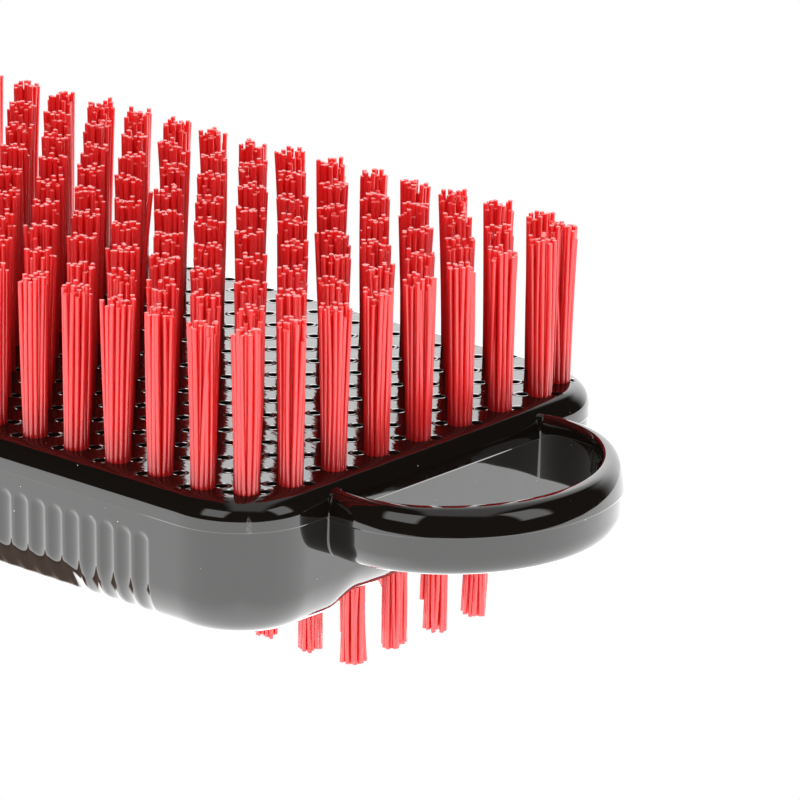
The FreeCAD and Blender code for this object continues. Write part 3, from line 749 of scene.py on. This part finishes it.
def build_row(name, node, root, tips, bundle):
    """One row of tufts as one object, with each filament's shade and its cut end as attributes."""
    points = np.concatenate([tuft_points(place, root, tips, bundle) for place in tuft_places(node)])
    filaments = len(points)
    index = np.arange(filaments * RINGS * SIDES).reshape(filaments, RINGS, SIDES)
    near, far, far_after, near_after = strip_quads(index, 1, 2)
    quads = np.stack([near, near_after, far_after, far], -1)
    caps = index[:, -1]
    if tips < root:
        quads = quads[..., ::-1]
        caps = caps[:, ::-1]
    faces = quads.reshape(-1, 4).tolist() + caps.tolist()
    made = make_object(name, points.reshape(-1, 3), faces, RED, "bristles", node)
    smooth = [True] * (len(faces) - filaments) + [False] * filaments
    made.data.polygons.foreach_set("use_smooth", smooth)
    shade = made.data.attributes.new("shade", "FLOAT", "POINT")
    shade.data.foreach_set("value", np.repeat(RANDOM.random(filaments), RINGS * SIDES))
    cut = made.data.attributes.new("cut", "FLOAT", "POINT")
    last_ring = np.repeat(np.arange(RINGS) == RINGS - 1, SIDES)
    cut.data.foreach_set("value", np.tile(last_ring, filaments) * 1.0)


for row in range(1, MAIN_ROWS + 1):
    build_row(f"bristles_row_{row}", f"main_tufts_row_{row}",
              TOP - ROOT_DEPTH, cad_high[2] / MM, MAIN_BUNDLE)
for row in range(1, NAIL_ROWS + 1):
    build_row(f"nail_bristles_row_{row}", f"nail_tufts_row_{row}",
              FOOT + TROUGH_DEPTH + ROOT_DEPTH, 0.0, NAIL_BUNDLE)

for name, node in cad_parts.items():
    if "anchors" in name:
        node.data.materials.clear()
        node.data.materials.append(METAL)


# Floor, world and lights

# Radiance in mirror reflections and for the light that is shed on the brush
FLOOR_GLOSSY = 3.35
FLOOR_SHED = 2.2
WALL_GLOSSY = 3.1
WALL_SHED = 2.4
AMBIENT_GLOSSY = 0.03
AMBIENT_SHED = 0.6
BOX_GLOSSY = 2.75
SEEN = 1.0

# Painted shadow on the floor under each waist, seen only in mirror reflections, and a painted pool
# of light: how much brighter the floor's mirror image is beside the brush
SHADOW_AWAY = 1.6
SHADOW_SHIFT = -5.0
SHADOW_LEVEL = 0.11
LIGHT_POOL_NEAR = 1.25


def mixed(tree, factor, a, b):
    """One of two numbers or fields, by a factor socket from 0 to 1."""
    node = tree.nodes.new("ShaderNodeMix")
    tree.links.new(factor, node.inputs["Factor"])
    for socket, value in ((node.inputs["A"], a), (node.inputs["B"], b)):
        if isinstance(value, Field):
            tree.links.new(value.socket, socket)
        else:
            socket.default_value = value
    return Field(tree, node.outputs["Result"])


def stage_strength(tree, glossy, shed):
    """One strength for camera rays, one for mirror reflections and one for the light it sheds."""
    path = tree.nodes.new("ShaderNodeLightPath")
    unseen = mixed(tree, path.outputs["Is Glossy Ray"], shed, glossy)
    return mixed(tree, path.outputs["Is Camera Ray"], unseen, SEEN)


def floor_material():
    """A glowing white table; its mirror image carries a painted shadow under the waists of the brush
    and a painted pool of light beside it.
    """
    made, tree, surface = new_material("white_floor")
    glow = tree.nodes.new("ShaderNodeEmission")
    x, y, _ = object_place(tree)[1]
    # Painted shadow: a dark, reddish-brown strip on the floor under each waist, seen only in mirror
    # reflections.
    aside = (y.size() - (HALF_WIDTH + SHADOW_AWAY)).size().fading(2.0, 3.2)
    along = (x - (CENTRE + SHADOW_SHIFT)).size().fading(WAIST_HALF - 1.5, WAIST_HALF + 1.5)
    strip = aside * along
    path = tree.nodes.new("ShaderNodeLightPath")
    mirrored_painted_shadow = strip * Field(tree, path.outputs["Is Glossy Ray"])
    colour = tinted(tree, mirrored_painted_shadow.socket, (1, 1, 1, 1), (1, 0.72, 0.58, 1))
    tree.links.new(colour, glow.inputs["Color"])
    # Painted pool of light: the floor's mirror image grows brighter towards the brush.
    beyond_end = (x - CENTRE).size() - (END_WALL - CENTRE)
    beyond = beyond_end.math("MAXIMUM", y.size() - HALF_WIDTH)
    glossy = strip.ramp(0.0, 1.0, 1.0, SHADOW_LEVEL) * beyond.ramp(0.0, 14.0, LIGHT_POOL_NEAR, 1.0)
    strength = stage_strength(tree, glossy * FLOOR_GLOSSY, FLOOR_SHED)
    tree.links.new(strength.socket, glow.inputs["Strength"])
    tree.links.new(glow.outputs[0], surface)
    return made


bpy.ops.mesh.primitive_plane_add(size=6.0)
floor = bpy.context.object
floor.name = "floor"
floor.data.materials.append(floor_material())


def towards(azimuth, elevation):
    """Direction to a place round the brush; azimuth counts as for the camera."""
    a, e = math.radians(azimuth), math.radians(elevation)
    return Vector((math.sin(a) * math.cos(e), -math.cos(a) * math.cos(e), math.sin(e)))


def half_extent(angle):
    """Half the width that an angle in degrees spans at a distance of one."""
    return math.tan(math.radians(angle / 2))


def share_along(tree, view, direction):
    """How far the direction of view points along another one."""
    node = tree.nodes.new("ShaderNodeVectorMath")
    node.operation = "DOT_PRODUCT"
    tree.links.new(view, node.inputs[0])
    node.inputs[1].default_value = direction
    return Field(tree, node.outputs["Value"])


def mirrored_box(tree, view, azimuth, elevation, wide, high):
    """1 inside the mirror image of a rectangular light with soft edges; sizes are in degrees."""
    a, e = math.radians(azimuth), math.radians(elevation)
    upright = (-math.sin(a) * math.sin(e), math.cos(a) * math.sin(e), math.cos(e))
    ahead = share_along(tree, view, towards(azimuth, elevation))
    across = share_along(tree, view, (math.cos(a), math.sin(a), 0.0)) / ahead
    upward = share_along(tree, view, upright) / ahead
    half_wide, half_high = half_extent(wide), half_extent(high)
    inside = across.size().fading(half_wide - 0.05, half_wide + 0.05)
    inside = inside * upward.size().fading(half_high - 0.03, half_high + 0.03)
    return inside * ahead.above(0.0)


def build_world():
    """A bright wall low down behind the brush, a dim ceiling over it and two boxes beside it."""
    world = bpy.data.worlds.new("studio")
    bpy.context.scene.world = world
    world.use_nodes = True
    tree = world.node_tree
    tree.nodes.clear()
    out = tree.nodes.new("ShaderNodeOutputWorld")
    sky = tree.nodes.new("ShaderNodeBackground")
    view = tree.nodes.new("ShaderNodeTexCoord").outputs["Generated"]
    behind = share_along(tree, view, (-0.651, 0.759, 0.0))
    aside = share_along(tree, view, (0.759, 0.651, 0.0))
    up = share_along(tree, view, (0.0, 0.0, 1.0))
    wall = behind.ramp(0.45, 0.85) * up.fading(0.42, 0.62)
    ceiling = aside.ramp(-0.2, -0.05) * aside.fading(0.35, 0.5)
    ceiling = ceiling * behind.ramp(-0.65, -0.45) * up.ramp(0.42, 0.62)
    left_box = mirrored_box(tree, view, 8.0, 36, 27, 32)
    right_box = mirrored_box(tree, view, 103.5, 36, 21, 32)
    boxes = (left_box + right_box) * BOX_GLOSSY
    ceiling = ceiling * behind.ramp(0.4, 0.8, 1.0, 1.7)
    glossy = wall * WALL_GLOSSY + ceiling + boxes + AMBIENT_GLOSSY
    strength = stage_strength(tree, glossy, wall * WALL_SHED + AMBIENT_SHED)
    tree.links.new(strength.socket, sky.inputs["Strength"])
    tree.links.new(sky.outputs[0], out.inputs["Surface"])


def soft_box(name, azimuth, elevation, wide, high, radiance):
    """A rectangular light aimed at the brush, unseen in mirror reflections; sizes are in degrees."""
    distance = 0.9
    light = bpy.data.lights.new(name, "AREA")
    light.shape = "RECTANGLE"
    light.size = 2 * distance * half_extent(wide)
    light.size_y = 2 * distance * half_extent(high)
    light.energy = radiance * light.size * light.size_y * math.pi
    made = bpy.data.objects.new(name, light)
    made.visible_glossy = False
    bpy.context.scene.collection.objects.link(made)
    back = towards(azimuth, elevation)
    made.location = back * distance
    made.rotation_euler = back.to_track_quat("Z", "Y").to_euler()


build_world()
soft_box("box_left", 8.5, 38, 28, 50, 2.4)
soft_box("box_right", 103, 32, 21, 46, 2.4)
soft_box("top", 40, 72, 50, 50, 1.6)


# Camera, fitted to the grid of tufts in the photograph

AZIMUTH = 40.6
ELEVATION = 18.345
ROLL = 0.836
FOCAL_PIXELS = 5494.975
PICTURE_PIXELS = 800
DISTANCE = 400.40
# The near corner of the tuft grid on the top face, and how far it lies from the picture's axis
CORNER_TUFT = (END_WALL - END_MARGIN, -GRID_HALF_WIDE, TOP)
CORNER_RIGHT = -11.190
CORNER_UP = -7.249


def place_camera():
    back = towards(AZIMUTH, ELEVATION)
    level = (-back).cross(Vector((0, 0, 1))).normalized()
    upright = level.cross(-back)
    roll = math.radians(ROLL)
    right = math.cos(roll) * level + math.sin(roll) * upright
    up = -math.sin(roll) * level + math.cos(roll) * upright
    place = Vector(CORNER_TUFT) - CORNER_RIGHT * right - CORNER_UP * up + DISTANCE * back
    data = bpy.data.cameras.new("camera")
    data.sensor_width = 36
    data.lens = FOCAL_PIXELS / PICTURE_PIXELS * data.sensor_width
    data.clip_start = 0.01
    camera = bpy.data.objects.new("camera", data)
    bpy.context.scene.collection.objects.link(camera)
    turn = Matrix((right, up, back)).transposed()
    camera.matrix_world = Matrix.Translation(place * MM) @ turn.to_4x4()
    bpy.context.scene.camera = camera


place_camera()

scene = bpy.context.scene
scene.render.resolution_x = PICTURE_PIXELS
scene.render.resolution_y = PICTURE_PIXELS
scene.view_settings.view_transform = "Standard"
scene.view_settings.look = "None"
